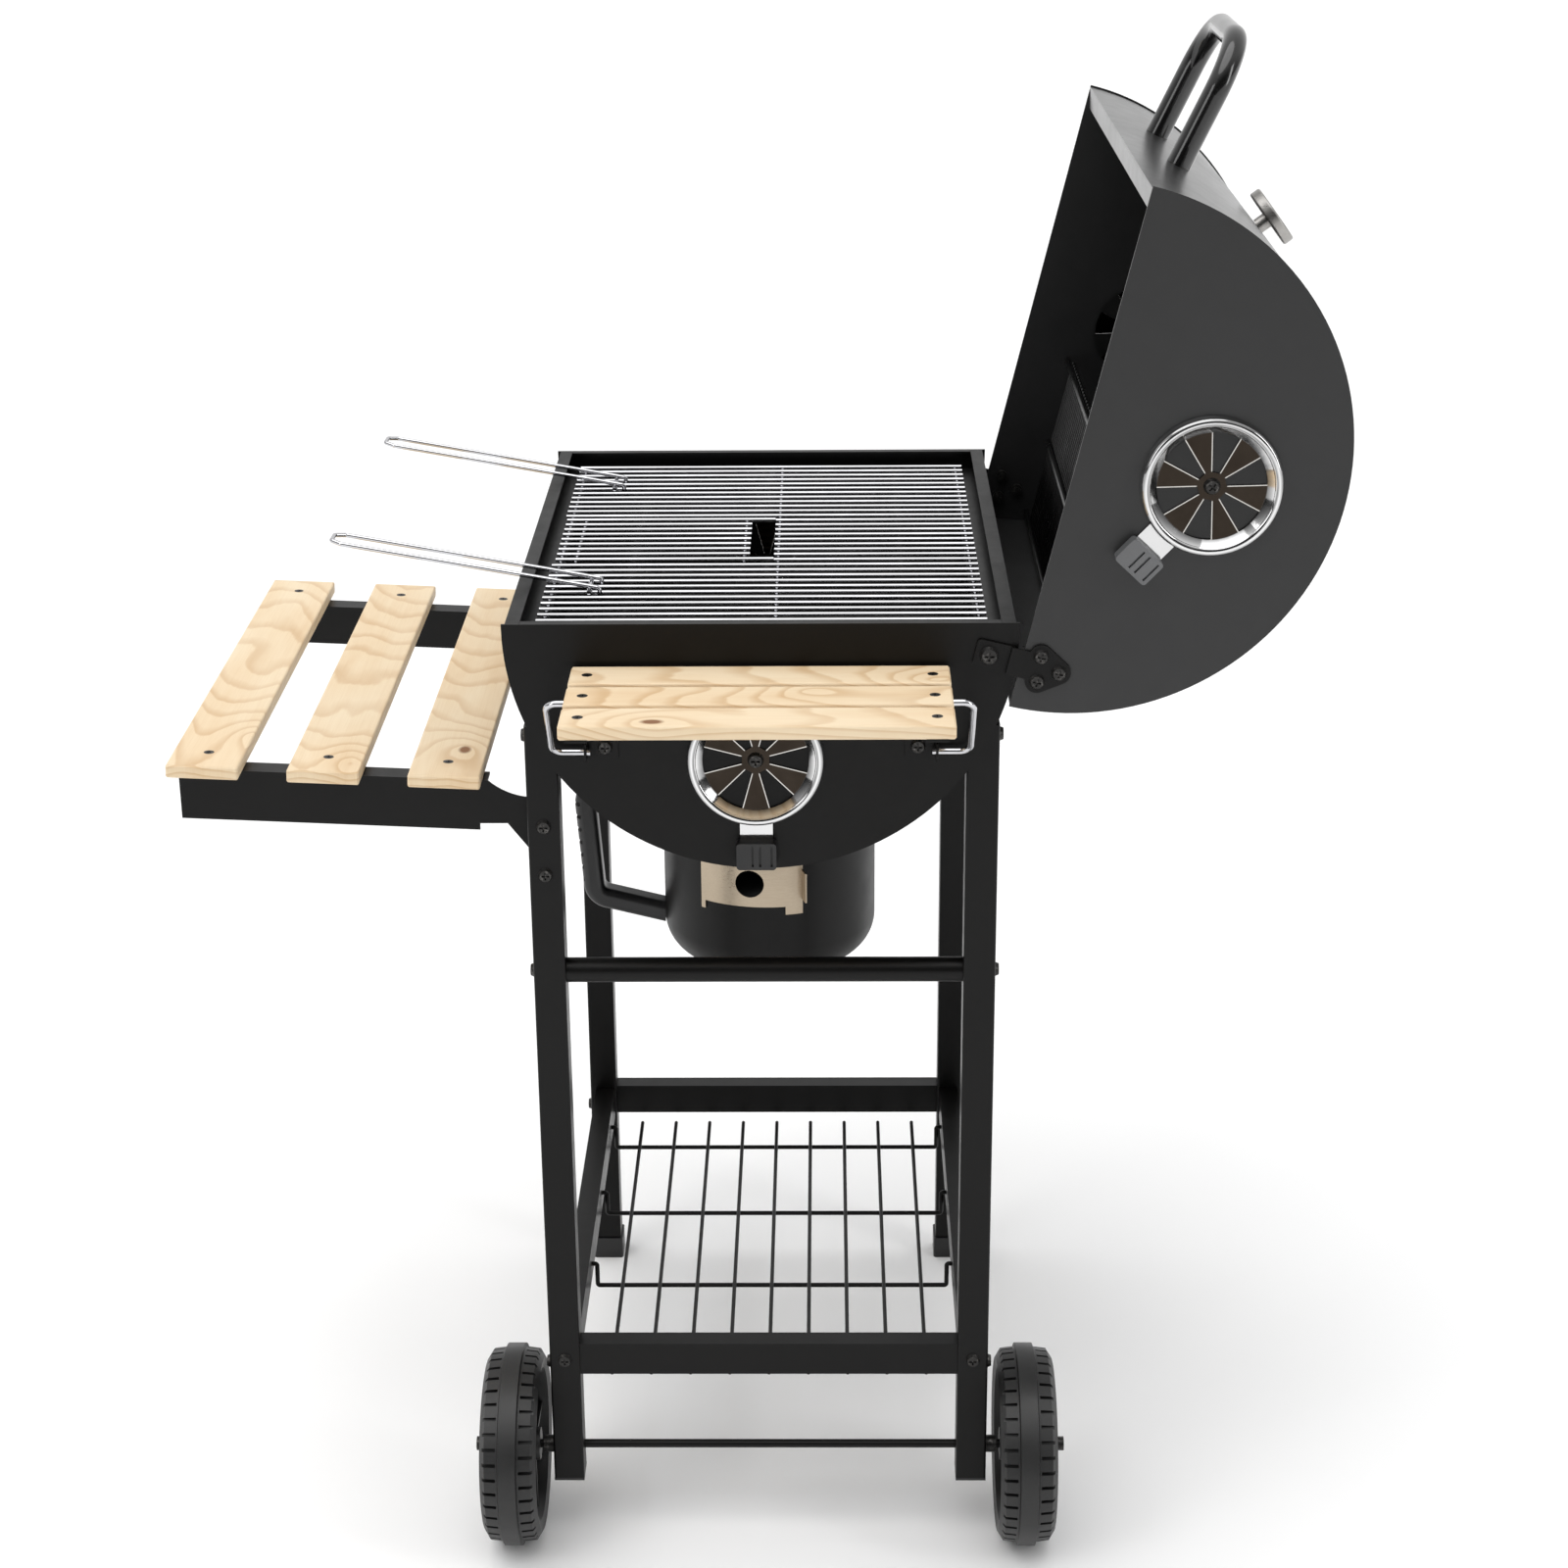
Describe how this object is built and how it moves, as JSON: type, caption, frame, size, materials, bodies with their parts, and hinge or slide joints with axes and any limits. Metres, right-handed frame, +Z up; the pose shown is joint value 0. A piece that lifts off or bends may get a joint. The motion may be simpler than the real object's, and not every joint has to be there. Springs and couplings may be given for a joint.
{
  "type": "barrel charcoal grill",
  "caption": "Barrel charcoal grill on a wheeled trolley, with hinged lid, round air vents, wire grates, pine shelves and an ash pot.",
  "frame": {"origin": "on the ground, under the middle of the whole grill with the lid open", "axes": "+X along the barrel towards the side shelf, -Y towards the cook and the front shelf, +Z up"},
  "size_m": [0.7434, 0.9936, 1.3629],
  "materials": {
    "black_plastic": "moulded black plastic",
    "box_paint": "satin black powder coat",
    "charcoal_iron": "heat-dulled steel",
    "chrome": "bright chrome",
    "dark_screw": "black oxide steel",
    "frame_paint": "satin black powder coat",
    "gloss_black": "gloss black enamel",
    "grey_plastic": "moulded grey plastic",
    "lid_paint": "satin dark grey-black powder coat",
    "pine": "planed natural pine",
    "stainless": "brushed stainless",
    "wheel_plastic": "moulded black plastic"
  },
  "bodies": {
    "root": {"firebox_shell": "box_paint", "firebox_end_right": "box_paint", "firebox_end_left": "box_paint", "grate_ledges": "box_paint", "ash_chute": "box_paint", "charcoal_grate": "charcoal_iron", "hinge_pins": "dark_screw", "cooking_grate": "chrome", "grate_handles": "chrome", "firebox_vent_screws": "dark_screw", "leg_front_right": "frame_paint", "leg_back_right": "frame_paint", "leg_front_left": "frame_paint", "leg_back_left": "frame_paint", "lower_end_rails": "frame_paint", "lower_side_rails": "frame_paint", "upper_crossbar": "frame_paint", "leg_end_caps": "black_plastic", "wire_shelf": "frame_paint", "axle": "frame_paint", "axle_fittings": "dark_screw", "front_shelf_arms": "frame_paint", "front_slat_inner": "pine", "front_slat_middle": "pine", "front_slat_outer": "pine", "front_shelf_screws": "dark_screw", "side_shelf_ears": "box_paint", "frame_bolts": "dark_screw"},
    "grate_insert": {"grate_insert": "chrome"},
    "firebox_vent_right": {"firebox_damper_right": "chrome", "firebox_vent_knob_right": "black_plastic"},
    "lid_vent_right": {"lid_damper_right": "chrome", "lid_vent_knob_right": "grey_plastic"},
    "firebox_vent_left": {"firebox_damper_left": "chrome", "firebox_vent_knob_left": "black_plastic"},
    "lid_vent_left": {"lid_damper_left": "chrome", "lid_vent_knob_left": "grey_plastic"},
    "lid": {"lid_vent_screws": "dark_screw", "lid_shell": "lid_paint", "lid_end_right": "lid_paint", "lid_end_left": "lid_paint", "hinge_arms": "box_paint", "lid_handle": "gloss_black", "lid_bolts": "dark_screw", "thermometer_case": "stainless", "thermometer_needle": "dark_screw", "thermometer_stem": "stainless", "warming_rack": "chrome"},
    "wheel_front": {"wheel_front": "wheel_plastic"},
    "wheel_back": {"wheel_back": "wheel_plastic"},
    "side_shelf": {"side_shelf_wire": "chrome", "side_shelf_straps": "frame_paint", "side_slats": "pine", "side_shelf_screws": "dark_screw"},
    "ash_pot": {"ash_pot": "box_paint", "ash_pot_handle": "black_plastic", "ash_pot_screws": "dark_screw", "ash_pot_damper_guide": "box_paint"},
    "ash_pot_damper": {"ash_pot_damper": "stainless"}
  },
  "joints": [
    {"name": "lid_hinge", "type": "hinge", "parent": "root", "child": "lid", "pos_m": [-0.06835, 0.20465, 0.8806], "axis": [1, 0, 0], "range_deg": [0, 102]},
    {"name": "lid_vent_turn_right", "type": "hinge", "parent": "lid", "child": "lid_vent_right", "pos_m": [0.22165, 0.38317, 1.02569], "axis": [1, 0, 0], "range_deg": [0, 30]},
    {"name": "firebox_vent_turn_right", "type": "hinge", "parent": "root", "child": "firebox_vent_right", "pos_m": [0.21765, 0.00905, 0.7876], "axis": [1, 0, 0], "range_deg": [0, 30]},
    {"name": "lid_vent_turn_left", "type": "hinge", "parent": "lid", "child": "lid_vent_left", "pos_m": [-0.35835, 0.38317, 1.02569], "axis": [1, 0, 0], "range_deg": [0, 30]},
    {"name": "firebox_vent_turn_left", "type": "hinge", "parent": "root", "child": "firebox_vent_left", "pos_m": [-0.35435, 0.00905, 0.7876], "axis": [1, 0, 0], "range_deg": [0, 30]},
    {"name": "grate_insert_lift", "type": "slide", "parent": "root", "child": "grate_insert", "axis": [0, 0, 1], "range_m": [0, 0.025]},
    {"name": "side_shelf_fold", "type": "hinge", "parent": "root", "child": "side_shelf", "pos_m": [0.22665, 0.01405, 0.798], "axis": [0, 1, 0], "range_deg": [0, 90]},
    {"name": "ash_pot_drop", "type": "slide", "parent": "root", "child": "ash_pot", "axis": [0, 0, -1], "range_m": [0, 0.15]},
    {"name": "ash_pot_damper_slide", "type": "hinge", "parent": "ash_pot", "child": "ash_pot_damper", "pos_m": [-0.06835, 0.01405, 0.595], "axis": [0, 0, 1], "range_deg": [0, 22]},
    {"name": "wheel_spin_front", "type": "hinge", "parent": "root", "child": "wheel_front", "pos_m": [0.19165, -0.22395, 0.093], "axis": [0, 1, 0], "continuous": true},
    {"name": "wheel_spin_back", "type": "hinge", "parent": "root", "child": "wheel_back", "pos_m": [0.19165, 0.25205, 0.093], "axis": [0, 1, 0], "continuous": true}
  ]
}
